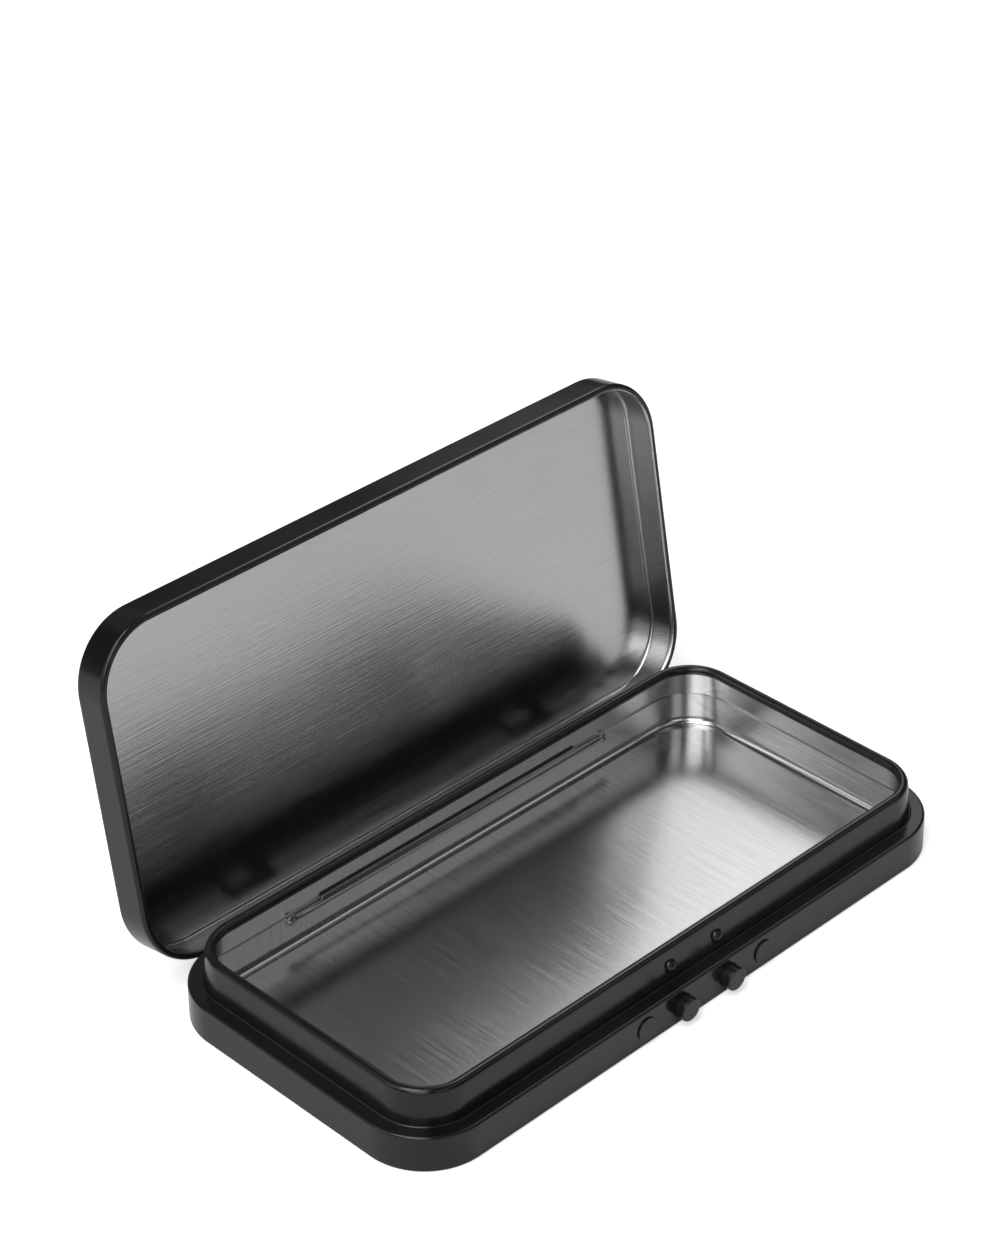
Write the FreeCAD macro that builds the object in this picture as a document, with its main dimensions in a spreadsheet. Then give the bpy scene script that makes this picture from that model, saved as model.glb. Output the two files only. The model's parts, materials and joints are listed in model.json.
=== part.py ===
import FreeCAD, Part
import math
import os
import re
import Sketcher

# Slim hinged sheet-metal tin, shown with its lid open.
# X runs along the tin, the push buttons face -Y and Z is up from the underside of the base.

# Driving sizes in millimetres and degrees
SIZES = {
    # Outline that the base and the lid share
    "length": 122.0,
    "width": 60.0,
    "corner_radius": 11.5,
    "sheet_metal": 0.3,
    "seat_gap": 0.05,
    # Base pan with its turned-in shoulder
    "base_height": 6.5,
    "base_edge_radius": 0.4,
    "shoulder_radius": 0.45,
    # Neck that leans in a little above the shoulder, with its rolled rim
    "neck_inset": 2.6,
    "neck_lean": 4.0,
    "rim_height": 12.8,
    "rim_curl_radius": 0.87,
    "rim_curl_end": -70.0,
    # Bare inner tray
    "tray_height": 6.4,
    "tray_fillet": 1.4,
    # Lid
    "lid_gap": 0.15,
    "lid_headroom": 0.1,
    "lid_edge_radius": 0.8,
    "lid_curl_radius": 0.64,
    "lid_curl_end": 70.0,
    "lid_open_angle": 99.7,
    # Hinges at the rear
    "hinge_inset": 0.7,
    "hinge_height": 5.45,
    "hinge_spacing": 64.5,
    "hinge_sheet": 0.25,
    "hinge_pin_radius": 0.4,
    "hinge_pin_gap": 0.05,
    "base_loop_width": 5.5,
    "lid_loop_width": 2.1,
    "loop_gap": 0.2,
    "loop_mouth": 70.0,
    "hinge_notch_floor": 4.45,
    "hinge_notch_gap": 0.3,
    "lid_notch_height": 7.95,
    "knuckle_top": 10.2,
    "tail_slot_gap": 0.1,
    # Rail that carries both base loops
    "rail_bottom": 5.1,
    "rail_top": 6.9,
    "rail_end": 2.0,
    "rail_corner": 0.4,
    "dimple_radius": 0.9,
    "dimple_height": 0.3,
    # Push buttons
    "button_spacing": 10.6,
    "button_height": 3.1,
    "button_radius": 2.0,
    "button_reach": 1.9,
    "button_edge": 0.25,
    "button_travel": 1.0,
    "flange_radius": 2.4,
    "flange_thickness": 0.4,
    "stem_radius": 0.9,
    "hole_gap": 0.1,
    "spigot_radius": 0.7,
    "spigot_gap": 0.03,
    "spigot_reach": 0.1,
    # Catch pins above the buttons
    "catch_radius": 1.1,
    "catch_reach": 0.9,
    "catch_margin": 0.35,
    # Latch plates and their cover inside the tin
    "plate_thickness": 0.4,
    "plate_width": 4.4,
    "plate_margin": 0.1,
    "plate_corner": 1.0,
    "cover_sheet": 0.25,
    "cover_gap": 0.1,
    "cover_corner": 1.2,
    # Leaf springs and their rivets
    "spring_thickness": 0.2,
    "spring_width": 3.0,
    "spring_gap": 0.03,
    "spring_end": 2.2,
    "rivet_spacing": 26.9,
    "rivet_height": 3.2,
    "rivet_radius": 2.0,
    "rivet_fit": 0.03,
    "rivet_reach": 0.3,
    "rivet_edge": 0.1,
    "rivet_shank_radius": 1.0,
    "rivet_tail_radius": 1.5,
    "rivet_tail_thickness": 0.3,
    # Strike inside the lid's front wall
    "strike_sheet": 0.25,
    "strike_width": 16.6,
    "strike_leg": 1.77,
    "strike_gap": 0.1,
    "strike_bite": 0.12,
    "strike_hook_width": 3.0,
    "strike_hook_drop": 0.2,
    "strike_play": 0.1,
}

# Places that several pieces share, worked out from the driving sizes
PLACES = {
    "front": "(-width / 2)",
    "rear": "(width / 2)",
    "tray_inset": "(neck_inset + sheet_metal + seat_gap)",
    "tray_inner_inset": "(tray_inset + sheet_metal)",
    "floor_lap": "(tray_inner_inset + tray_fillet + sheet_metal)",
    "lid_rim": "(base_height + lid_gap)",
    "lid_top": "(rim_height + lid_headroom + sheet_metal)",
    "hinge_y": "(rear - hinge_inset)",
    "hinge_x": "(hinge_spacing / 2)",
    "loop_bore": "(hinge_pin_radius + hinge_pin_gap)",
    "loop_radius": "(loop_bore + hinge_sheet)",
    "lid_loop_start": "(base_loop_width / 2 + loop_gap)",
    "knuckle_half": "(lid_loop_start + lid_loop_width)",
    "rail_outer": "(rear - tray_inner_inset - seat_gap)",
    "rail_inner": "(rail_outer - hinge_sheet)",
    "rail_half": "(hinge_x + base_loop_width / 2 + rail_end)",
    "flange_inset": "(sheet_metal + seat_gap)",
    "spring_inset": "(flange_inset + flange_thickness + spring_gap)",
    "spring_back": "(spring_inset + spring_thickness)",
    "neck_slope": "tan(neck_lean)",
    "neck_inner_inset": "(neck_inset + sheet_metal + neck_slope * (cover_top - base_height))",
    "plate_inset": "(max(tray_inner_inset; neck_inner_inset) + 2 * seat_gap)",
    "plate_back": "(plate_inset + plate_thickness)",
    "cover_top": "(rim_height - 2 * rim_curl_radius - seat_gap)",
    "plate_top": "(cover_top - cover_sheet - cover_gap)",
    "plate_bottom": "(button_height - stem_radius - plate_margin)",
    "cover_bottom": "(plate_bottom - cover_gap - cover_sheet)",
    "cover_inner": "(plate_back + spigot_reach + button_travel + cover_gap)",
    "cover_half": "(button_spacing / 2 + plate_width / 2 + cover_gap + cover_sheet)",
    "catch_height": "(plate_top - catch_margin - catch_radius)",
    "strike_shelf": "max(lid_rim + 2 * lid_curl_radius + strike_gap; strike_hook_top + strike_hook_drop)",
    "strike_top": "(strike_shelf + strike_leg)",
    "strike_drop": "(2 * lid_curl_radius + strike_gap)",
    "catch_seat": "(neck_inset + neck_slope * (catch_height - base_height))",
    "catch_tip": "(catch_seat - catch_reach)",
    "catch_dome": "((catch_radius ^ 2 + catch_reach ^ 2) / (2 * catch_reach))",
    "strike_tip": "(catch_tip + strike_bite)",
    "strike_hook_top": "(catch_height - sqrt(2 * catch_dome * strike_bite - strike_bite ^ 2) - strike_play)",
}

SIDES = {"left": -1, "right": 1}
WORD = re.compile(r"[a-z_]+")

doc = FreeCAD.newDocument("hinged_tin")
sheet = doc.addObject("Spreadsheet::Sheet", "Sizes")
for row, (name, size) in enumerate(SIZES.items(), start=1):
    sheet.set(f"A{row}", name)
    sheet.set(f"B{row}", str(size))
    sheet.setAlias(f"B{row}", name)
doc.recompute()


def tied(expression):
    """The expression with shared places written out and every size pointing at its cell."""
    text = str(expression)
    while any(word in PLACES for word in WORD.findall(text)):
        text = WORD.sub(lambda match: PLACES.get(match[0], match[0]), text)
    return WORD.sub(lambda match: f"Sizes.{match[0]}" if match[0] in SIZES else match[0], text)


def measure(expression):
    """Present value of an expression of sizes."""
    return float(sheet.evalExpression(tied(expression)))


def new_body(name):
    body = doc.addObject("PartDesign::Body", name)
    body.Label = name
    return body


def new_sketch(body, name, plane, x="0", y="0", z="0"):
    """Sketch on one of the body's own planes, its origin moved in the plane's own axes."""
    sketch = body.newObject("Sketcher::SketchObject", f"{body.Name}_{name}")
    role = f"{plane}_Plane"
    sketch.AttachmentSupport = [(next(f for f in body.Origin.OriginFeatures if f.Role == role), "")]
    sketch.MapMode = "FlatFace"
    for axis, offset in zip("xyz", (x, y, z)):
        sketch.setExpression(f"AttachmentOffset.Base.{axis}", tied(offset))
    return sketch


def fillet_ends(before, corner, after):
    """Start and end of the fillet at a square corner, and which way it turns."""
    x, y, radius = corner
    runs = []
    for start, end in ((before, corner), (corner, after)):
        run_x = measure(end[0]) - measure(start[0])
        run_y = measure(end[1]) - measure(start[1])
        along_x = abs(run_x) > abs(run_y)
        sign = 1 if (run_x if along_x else run_y) > 0 else -1
        runs.append((sign, 0) if along_x else (0, sign))
    arrive, leave = runs
    start = tuple(f"({p}) - ({step}) * ({radius})" for p, step in zip((x, y), arrive))
    end = tuple(f"({p}) + ({step}) * ({radius})" for p, step in zip((x, y), leave))
    centre = tuple(f"({p}) + ({step}) * ({radius})" for p, step in zip(start, leave))
    turn = arrive[0] * leave[1] - arrive[1] * leave[0]
    return start, end, (radius, centre, turn)


def outline_steps(corners):
    """Vertices of an outline and, for each, the arc that leads to it or None for a line."""
    steps = []
    for index, corner in enumerate(corners):
        if len(corner) == 2:
            steps.append((corner, None))
        elif len(corner) == 3:
            following = corners[(index + 1) % len(corners)]
            start, end, arc = fillet_ends(corners[index - 1], corner, following)
            steps += [(start, None), (end, arc)]
        else:
            x, y, radius, centre_x, centre_y, turn = corner
            steps.append(((x, y), (radius, (centre_x, centre_y), turn)))
    return steps


def draw_outline(sketch, corners):
    """Closed outline tied to the sizes. A corner is (x, y), (x, y, fillet radius) between square
    runs, or (x, y, radius, centre x, centre y, turn) for the far end of an arc."""
    steps = outline_steps(corners)
    rules = []
    starts = []
    ends = []
    for index, (vertex, arc) in enumerate(steps):
        here = FreeCAD.Vector(*(measure(p) for p in steps[index - 1][0]), 0)
        there = FreeCAD.Vector(*(measure(p) for p in vertex), 0)
        if arc is None:
            number = sketch.addGeometry(Part.LineSegment(here, there), False)
            starts.append((number, 1))
            ends.append((number, 2))
            continue
        radius, centre, turn = arc
        middle = FreeCAD.Vector(*(measure(p) for p in centre), 0)
        first, last = (here, there) if turn > 0 else (there, here)
        angles = [math.atan2(p.y - middle.y, p.x - middle.x) for p in (first, last)]
        circle = Part.Circle(middle, FreeCAD.Vector(0, 0, 1), measure(radius))
        sweep = angles[0] + (angles[1] - angles[0]) % (2 * math.pi)
        number = sketch.addGeometry(Part.ArcOfCircle(circle, angles[0], sweep), False)
        starts.append((number, 1 if turn > 0 else 2))
        ends.append((number, 2 if turn > 0 else 1))
        rules.append((Sketcher.Constraint("Radius", number, measure(radius)), radius))
    for index, (vertex, _) in enumerate(steps):
        following = starts[(index + 1) % len(steps)]
        sketch.addConstraint(Sketcher.Constraint("Coincident", *ends[index], *following))
        for kind, place in zip(("DistanceX", "DistanceY"), vertex):
            rules.append((Sketcher.Constraint(kind, -1, 1, *ends[index], measure(place)), place))
    tie_rules(sketch, rules)


def draw_circle(sketch, x, y, radius):
    middle = FreeCAD.Vector(measure(x), measure(y), 0)
    circle = Part.Circle(middle, FreeCAD.Vector(0, 0, 1), measure(radius))
    number = sketch.addGeometry(circle, False)
    tie_rules(sketch, [
        (Sketcher.Constraint("DistanceX", -1, 1, number, 3, measure(x)), x),
        (Sketcher.Constraint("DistanceY", -1, 1, number, 3, measure(y)), y),
        (Sketcher.Constraint("Radius", number, measure(radius)), radius),
    ])


def tie_rules(sketch, rules):
    for rule, expression in rules:
        number = sketch.addConstraint(rule)
        sketch.setExpression(f"Constraints[{number}]", tied(expression))


def draw_box(sketch, x_low, x_high, y_low, y_high):
    draw_outline(sketch, [(x_low, y_low), (x_high, y_low), (x_high, y_high), (x_low, y_high)])


def draw_rounded_box(sketch, x_low, x_high, y_low, y_high, radius):
    corners = [(x_low, y_low), (x_high, y_low), (x_high, y_high), (x_low, y_high)]
    draw_outline(sketch, [(x, y, radius) for x, y in corners])


def pad(body, sketch, length):
    feature = body.newObject("PartDesign::Pad", f"{sketch.Name}_pad")
    feature.Profile = sketch
    feature.setExpression("Length", tied(length))
    doc.recompute()
    return feature


def revolve(body, sketch):
    """Full turn of a sketch about its own upright axis."""
    feature = body.newObject("PartDesign::Revolution", f"{sketch.Name}_turn")
    feature.Profile = sketch
    feature.ReferenceAxis = (sketch, ["V_Axis"])
    feature.Angle = 360.0
    doc.recompute()
    return feature


def cut_through(body, sketch, towards_normal):
    """Cut everything on one side of a sketch, which has to take metal away."""
    before = body.Shape.Volume
    feature = body.newObject("PartDesign::Pocket", f"{sketch.Name}_cut")
    feature.Profile = sketch
    feature.Type = "ThroughAll"
    feature.Reversed = towards_normal
    doc.recompute()
    if body.Shape.Volume >= before:
        raise RuntimeError(f"{feature.Name} cuts nothing")
    return feature


def sweep_round(body, corners):
    """Sweep a section of the front wall round the tin's outline."""
    path = new_sketch(body, "path", "XY")
    side = "length / 2"
    draw_outline(path, [
        ("0", "front"),
        (side, "front", "corner_radius"),
        (side, "rear", "corner_radius"),
        (f"-{side}", "rear", "corner_radius"),
        (f"-{side}", "front", "corner_radius"),
    ])
    section = new_sketch(body, "section", "YZ")
    draw_outline(section, corners)
    feature = body.newObject("PartDesign::AdditivePipe", f"{body.Name}_wall")
    feature.Profile = section
    feature.Spine = (path, [])
    doc.recompute()
    return feature


def add_floor(body, bottom):
    """Flat sheet that closes the middle of a swept pan."""
    sketch = new_sketch(body, "floor", "XY", z=bottom)
    x = "length / 2 - floor_lap"
    y = "width / 2 - floor_lap"
    draw_rounded_box(sketch, f"-({x})", x, f"-({y})", y, "corner_radius - floor_lap")
    pad(body, sketch, "sheet_metal")


def from_front(inset):
    return f"front + ({inset})"


def from_rear(inset):
    return f"rear - ({inset})"


def on_circle(centre, radius, angle):
    """Point of a circle, as expressions."""
    x, y = centre
    return f"{x} + ({radius}) * cos({angle})", f"{y} + ({radius}) * sin({angle})"


def front_holes(body, holes):
    """Round holes in the front wall, each pair given as spacing, height and radius."""
    sketch = new_sketch(body, "holes", "XZ")
    for spacing, height, radius in holes:
        for sign in SIDES.values():
            draw_circle(sketch, f"{sign} * {spacing} / 2", height, radius)
    cut_through(body, sketch, True)


def hinge_windows(body, name, half_width, low, high):
    """Square openings in the rear wall, one at each hinge."""
    sketch = new_sketch(body, name, "XZ")
    for sign in SIDES.values():
        middle = f"{sign} * hinge_x"
        draw_box(sketch, f"{middle} - ({half_width})", f"{middle} + ({half_width})", low, high)
    cut_through(body, sketch, False)


def make_base_shell():
    """Outer pan: floor, wall and the shoulder turned in to the neck."""
    body = new_body("base_shell")
    shoulder_inset = "neck_inset - seat_gap"
    sweep_round(body, [
        (from_front("floor_lap"), "0"),
        (from_front("floor_lap"), "sheet_metal"),
        (from_front("sheet_metal"), "sheet_metal", "base_edge_radius - sheet_metal"),
        (from_front("sheet_metal"), "base_height - sheet_metal", "shoulder_radius - sheet_metal"),
        (from_front(shoulder_inset), "base_height - sheet_metal"),
        (from_front(shoulder_inset), "base_height"),
        ("front", "base_height", "shoulder_radius"),
        ("front", "0", "base_edge_radius"),
    ])
    add_floor(body, "0")
    front_holes(body, [
        ("button_spacing", "button_height", "button_radius + hole_gap"),
        ("rivet_spacing", "rivet_height", "rivet_radius + rivet_fit"),
    ])
    hinge_windows(body, "hinge_notch", "knuckle_half + hinge_notch_gap", "hinge_notch_floor", "rim_height")
    return body


def make_neck_ring():
    """Wall that the lid closes over, leaning in above the shoulder, its top edge rolled inwards."""
    body = new_body("neck_ring")
    turn_height = "rim_height - rim_curl_radius + rim_curl_radius * sin(neck_lean)"
    turn_inset = f"neck_inset + neck_slope * ({turn_height} - base_height)"
    centre = (from_front(f"{turn_inset} + rim_curl_radius * cos(neck_lean)"), "rim_height - rim_curl_radius")
    bore = "rim_curl_radius - sheet_metal"
    turn = "180 - neck_lean"
    sweep_round(body, [
        (from_front("neck_inset"), "sheet_metal"),
        (from_front("neck_inset"), "base_height"),
        on_circle(centre, "rim_curl_radius", turn),
        (*on_circle(centre, "rim_curl_radius", "rim_curl_end"), "rim_curl_radius", *centre, -1),
        on_circle(centre, bore, "rim_curl_end"),
        (*on_circle(centre, bore, turn), bore, *centre, 1),
        (from_front("neck_inset + sheet_metal"), "base_height"),
        (from_front("neck_inset + sheet_metal"), "sheet_metal"),
    ])
    front_holes(body, [
        ("button_spacing", "button_height", "stem_radius + hole_gap"),
        ("button_spacing", "catch_height", "catch_radius + hole_gap"),
    ])
    tail_top = "hinge_height + loop_radius"
    hinge_windows(body, "tail_slot", "base_loop_width / 2 + tail_slot_gap",
                  "hinge_height + loop_bore - tail_slot_gap", f"{tail_top} + tail_slot_gap")
    return body


def make_inner_tray():
    """Bare drawn tray that lines the floor and the lower half of the neck."""
    body = new_body("inner_tray")
    outside = from_front("tray_inset")
    inside = from_front("tray_inner_inset")
    sweep_round(body, [
        (outside, "tray_height"),
        (inside, "tray_height"),
        (inside, "2 * sheet_metal", "tray_fillet"),
        (from_front("floor_lap"), "2 * sheet_metal"),
        (from_front("floor_lap"), "sheet_metal"),
        (outside, "sheet_metal", "tray_fillet + sheet_metal"),
    ])
    add_floor(body, "sheet_metal")
    front_holes(body, [("button_spacing", "button_height", "stem_radius + hole_gap")])
    hinge_windows(body, "tail_notch", "base_loop_width / 2 + tail_slot_gap",
                  "hinge_height + loop_bore - tail_slot_gap", "rim_height")
    return body


def make_hinge_rail():
    """Strip along the inside of the rear wall whose ends run out and curl round the hinge pins."""
    body = new_body("hinge_rail")
    strip = new_sketch(body, "strip", "XZ", z="-rail_outer")
    tail_top = "hinge_height + loop_radius"
    step = "hinge_x - base_loop_width / 2"
    draw_outline(strip, [
        ("-rail_half", "rail_bottom", "rail_corner"),
        ("rail_half", "rail_bottom", "rail_corner"),
        ("rail_half", tail_top, "rail_corner"),
        (step, tail_top),
        (step, "rail_top", "rail_corner"),
        (f"-({step})", "rail_top", "rail_corner"),
        (f"-({step})", tail_top),
        ("-rail_half", tail_top, "rail_corner"),
    ])
    pad(body, strip, "hinge_sheet")
    centre = ("hinge_y", "hinge_height")
    mouth = "90 + loop_mouth"
    for side, sign in SIDES.items():
        loop = new_sketch(body, f"{side}_loop", "YZ", z=f"{sign} * hinge_x - base_loop_width / 2")
        draw_outline(loop, [
            ("rail_inner", "hinge_height + loop_bore"),
            ("rail_inner", tail_top),
            ("hinge_y", tail_top),
            (*on_circle(centre, "loop_radius", mouth), "loop_radius", *centre, -1),
            on_circle(centre, "loop_bore", mouth),
            ("hinge_y", "hinge_height + loop_bore", "loop_bore", *centre, 1),
        ])
        pad(body, loop, "base_loop_width")
        dimple = new_sketch(body, f"{side}_dimple", "XY", x=f"{sign} * (rail_half - rail_end / 2)",
                            y="rail_inner", z=f"(rail_bottom + {tail_top}) / 2")
        radius = "(dimple_radius ^ 2 + dimple_height ^ 2) / (2 * dimple_height)"
        draw_outline(dimple, [
            ("0", "hinge_sheet / 2"),
            ("0", "-dimple_height"),
            ("dimple_radius", "0", radius, "0", f"{radius} - dimple_height", 1),
            ("dimple_radius", "hinge_sheet / 2"),
        ])
        revolve(body, dimple)
    return body


def make_hinge_pin(side):
    body = new_body(f"{side}_hinge_pin")
    sketch = new_sketch(body, "round", "YZ", z=f"{SIDES[side]} * hinge_x - knuckle_half")
    draw_circle(sketch, "hinge_y", "hinge_height", "hinge_pin_radius")
    pad(body, sketch, "2 * knuckle_half")
    return body


def make_spring_rivet(side):
    """Rivet whose low head stands out of a hole in the front wall and whose tail holds the spring."""
    body = new_body(f"{side}_spring_rivet")
    sketch = new_sketch(body, "half", "XY", x=f"{SIDES[side]} * rivet_spacing / 2", z="rivet_height")
    tail_end = from_front("spring_back + rivet_tail_thickness")
    draw_outline(sketch, [
        ("0", "front - rivet_reach"),
        ("rivet_radius", "front - rivet_reach", "rivet_edge"),
        ("rivet_radius", from_front("flange_inset")),
        ("flange_radius", from_front("flange_inset")),
        ("flange_radius", from_front("spring_inset")),
        ("rivet_shank_radius", from_front("spring_inset")),
        ("rivet_shank_radius", from_front("spring_back")),
        ("rivet_tail_radius", from_front("spring_back")),
        ("rivet_tail_radius", tail_end),
        ("0", tail_end),
    ])
    revolve(body, sketch)
    return body


def make_leaf_spring(side):
    """Flat spring from its rivet to the back of the button's flange."""
    body = new_body(f"{side}_leaf_spring")
    sign = SIDES[side]
    sketch = new_sketch(body, "blade", "XZ", z="-(" + from_front("spring_inset") + ")")
    near = "button_spacing / 2 - spring_end"
    far = "rivet_spacing / 2 + spring_end"
    low, high = (near, far) if sign > 0 else (f"-({far})", f"-({near})")
    draw_rounded_box(sketch, low, high, "button_height - spring_width / 2",
                     "button_height + spring_width / 2", "spring_width / 2 - seat_gap")
    draw_circle(sketch, f"{sign} * button_spacing / 2", "button_height", "stem_radius + hole_gap")
    draw_circle(sketch, f"{sign} * rivet_spacing / 2", "rivet_height", "rivet_shank_radius")
    blade = pad(body, sketch, "spring_thickness")
    blade.Reversed = True
    return body


def make_push_button(side):
    """Button with the flange that stops it and the stem that carries the latch plate."""
    body = new_body(f"{side}_push_button")
    sketch = new_sketch(body, "half", "XY", x=f"{SIDES[side]} * button_spacing / 2", z="button_height")
    flange_back = from_front("flange_inset + flange_thickness")
    draw_outline(sketch, [
        ("0", "front - button_reach"),
        ("button_radius", "front - button_reach", "button_edge"),
        ("button_radius", from_front("flange_inset")),
        ("flange_radius", from_front("flange_inset")),
        ("flange_radius", flange_back),
        ("stem_radius", flange_back),
        ("stem_radius", from_front("plate_inset")),
        ("spigot_radius", from_front("plate_inset")),
        ("spigot_radius", from_front("plate_back + spigot_reach")),
        ("0", from_front("plate_back + spigot_reach")),
    ])
    revolve(body, sketch)
    return body


def make_catch_pin(side):
    """Domed pin through the neck that holds the lid's strike down."""
    body = new_body(f"{side}_catch_pin")
    sketch = new_sketch(body, "half", "XY", x=f"{SIDES[side]} * button_spacing / 2", z="catch_height")
    dome_middle = from_front("catch_tip + catch_dome")
    draw_outline(sketch, [
        ("0", from_front("catch_tip")),
        ("catch_radius", from_front("catch_seat"), "catch_dome", "0", dome_middle, 1),
        ("catch_radius", from_front("plate_inset")),
        ("spigot_radius", from_front("plate_inset")),
        ("spigot_radius", from_front("plate_back + spigot_reach")),
        ("0", from_front("plate_back + spigot_reach")),
    ])
    revolve(body, sketch)
    return body


def make_latch_plate(side):
    """Plate behind the walls that ties a button to the catch pin above it."""
    body = new_body(f"{side}_latch_plate")
    sketch = new_sketch(body, "plate", "XZ", z="-(" + from_front("plate_inset") + ")")
    middle = f"{SIDES[side]} * button_spacing / 2"
    draw_rounded_box(sketch, f"{middle} - plate_width / 2", f"{middle} + plate_width / 2",
                     "plate_bottom", "plate_top", "plate_corner")
    for height in ("button_height", "catch_height"):
        draw_circle(sketch, middle, height, "spigot_radius + spigot_gap")
    plate = pad(body, sketch, "plate_thickness")
    plate.Reversed = True
    return body


def make_latch_cover():
    """Pressed box that keeps the contents clear of the latch plates."""
    body = new_body("latch_cover")
    outer = new_sketch(body, "outer", "XZ", z="-(" + from_front("plate_inset") + ")")
    draw_rounded_box(outer, "-cover_half", "cover_half", "cover_bottom", "cover_top", "cover_corner")
    block = pad(body, outer, "cover_inner + cover_sheet - plate_inset")
    block.Reversed = True
    doc.recompute()
    hollow = new_sketch(body, "hollow", "XZ", z="-(" + from_front("cover_inner") + ")")
    inside = "cover_half - cover_sheet"
    draw_rounded_box(hollow, f"-({inside})", inside, "cover_bottom + cover_sheet",
                     "cover_top - cover_sheet", "cover_corner - cover_sheet")
    cut_through(body, hollow, True)
    return body


def make_lid_shell():
    """Lid drawn from one sheet, its rim curled inwards."""
    body = new_body("lid_shell")
    centre = (from_front("lid_curl_radius"), "lid_rim + lid_curl_radius")
    bore = "lid_curl_radius - sheet_metal"
    sweep_round(body, [
        (from_front("floor_lap"), "lid_top"),
        ("front", "lid_top", "lid_edge_radius"),
        ("front", centre[1]),
        (*on_circle(centre, "lid_curl_radius", "lid_curl_end"), "lid_curl_radius", *centre, 1),
        on_circle(centre, bore, "lid_curl_end"),
        (from_front("sheet_metal"), centre[1], bore, *centre, -1),
        (from_front("sheet_metal"), "lid_top - sheet_metal", "lid_edge_radius - sheet_metal"),
        (from_front("floor_lap"), "lid_top - sheet_metal"),
    ])
    add_floor(body, "lid_top - sheet_metal")
    hinge_windows(body, "hinge_notch", "knuckle_half + hinge_notch_gap", "base_height", "lid_notch_height")
    return body


def make_lid_knuckle(side):
    """Tab on the lid's rear wall with a loop round the hinge pin at each end."""
    body = new_body(f"{side}_lid_knuckle")
    start = f"{SIDES[side]} * hinge_x - knuckle_half"
    tab = new_sketch(body, "tab", "YZ", z=start)
    centre = ("hinge_y", "hinge_height")
    inner = from_rear("sheet_metal + hinge_sheet")
    flush = "hinge_y + loop_radius"
    draw_outline(tab, [
        ("hinge_y + loop_bore", "lid_notch_height - hinge_sheet"),
        (inner, "lid_notch_height - hinge_sheet"),
        (inner, "knuckle_top"),
        (from_rear("sheet_metal"), "knuckle_top"),
        (from_rear("sheet_metal"), "lid_notch_height"),
        (flush, "lid_notch_height"),
        (flush, "hinge_height"),
        (*on_circle(centre, "loop_radius", "loop_mouth"), "loop_radius", *centre, -1),
        on_circle(centre, "loop_bore", "loop_mouth"),
        ("hinge_y + loop_bore", "hinge_height", "loop_bore", *centre, 1),
    ])
    pad(body, tab, "2 * knuckle_half")
    window = new_sketch(body, "window", "XZ")
    middle = f"{SIDES[side]} * hinge_x"
    draw_box(window, f"{middle} - lid_loop_start", f"{middle} + lid_loop_start",
             "hinge_height - 2 * loop_radius", "hinge_height + loop_radius + loop_gap")
    cut_through(body, window, False)
    return body


def make_lid_strike():
    """Folded strip inside the lid's front wall with a hook to sit under each catch pin."""
    body = new_body("lid_strike")
    drop = from_front("strike_drop")
    drop_in = from_front("strike_drop + strike_sheet")
    wall = from_front("sheet_metal")
    wall_in = from_front("sheet_metal + strike_sheet")
    shelf_top = "strike_shelf + strike_sheet"
    fold = new_sketch(body, "fold", "YZ", z="-strike_width / 2")
    draw_outline(fold, [
        (wall, "strike_shelf"),
        (drop_in, "strike_shelf"),
        (drop_in, shelf_top),
        (wall_in, shelf_top),
        (wall_in, "strike_top"),
        (wall, "strike_top"),
    ])
    pad(body, fold, "strike_width")
    tip = from_front("strike_tip")
    for side, sign in SIDES.items():
        hook = new_sketch(body, f"{side}_hook", "YZ",
                          z=f"{sign} * button_spacing / 2 - strike_hook_width / 2")
        draw_outline(hook, [
            (drop, "strike_hook_top - strike_sheet"),
            (tip, "strike_hook_top - strike_sheet"),
            (tip, "strike_hook_top"),
            (drop_in, "strike_hook_top"),
            (drop_in, shelf_top),
            (drop, shelf_top),
        ])
        pad(body, hook, "strike_hook_width")
    return body


def swing_open(body):
    """Turn a piece of the closed lid back about the hinge axis."""
    axis_point = FreeCAD.Vector(0, measure("hinge_y"), measure("hinge_height"))
    turn = FreeCAD.Rotation(FreeCAD.Vector(1, 0, 0), -measure("lid_open_angle"))
    body.Placement = FreeCAD.Placement(FreeCAD.Vector(), turn, axis_point)


def make_pieces():
    base = [make_base_shell(), make_neck_ring(), make_inner_tray(), make_hinge_rail(), make_latch_cover()]
    lid = [make_lid_shell(), make_lid_strike()]
    for side in SIDES:
        base += [make_hinge_pin(side), make_spring_rivet(side), make_leaf_spring(side)]
        base += [make_push_button(side), make_catch_pin(side), make_latch_plate(side)]
        lid.append(make_lid_knuckle(side))
    for body in lid:
        swing_open(body)
    doc.recompute()
    return base + lid


def check(pieces):
    """Stop before anything is written if a feature failed or a piece isn't one sound solid."""
    for thing in doc.Objects:
        if {"Invalid", "Error"} & set(thing.State):
            raise RuntimeError(f"{thing.Name} failed: {thing.State}")
    for piece in pieces:
        if piece.Shape.isNull() or not piece.Shape.isValid() or len(piece.Shape.Solids) != 1:
            raise RuntimeError(f"{piece.Label} isn't one sound solid")


def main():
    pieces = make_pieces()
    check(pieces)
    os.makedirs("parts", exist_ok=True)
    for piece in pieces:
        piece.Shape.exportStep(f"parts/{piece.Label}.step")
        box = piece.Shape.BoundBox
        print(f"{piece.Label}: {piece.Shape.Volume:.2f} mm3, z {box.ZMin:.2f} to {box.ZMax:.2f}")


main()
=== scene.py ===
import json
import math

import bmesh
import bpy
from mathutils import Matrix, Vector


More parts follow.
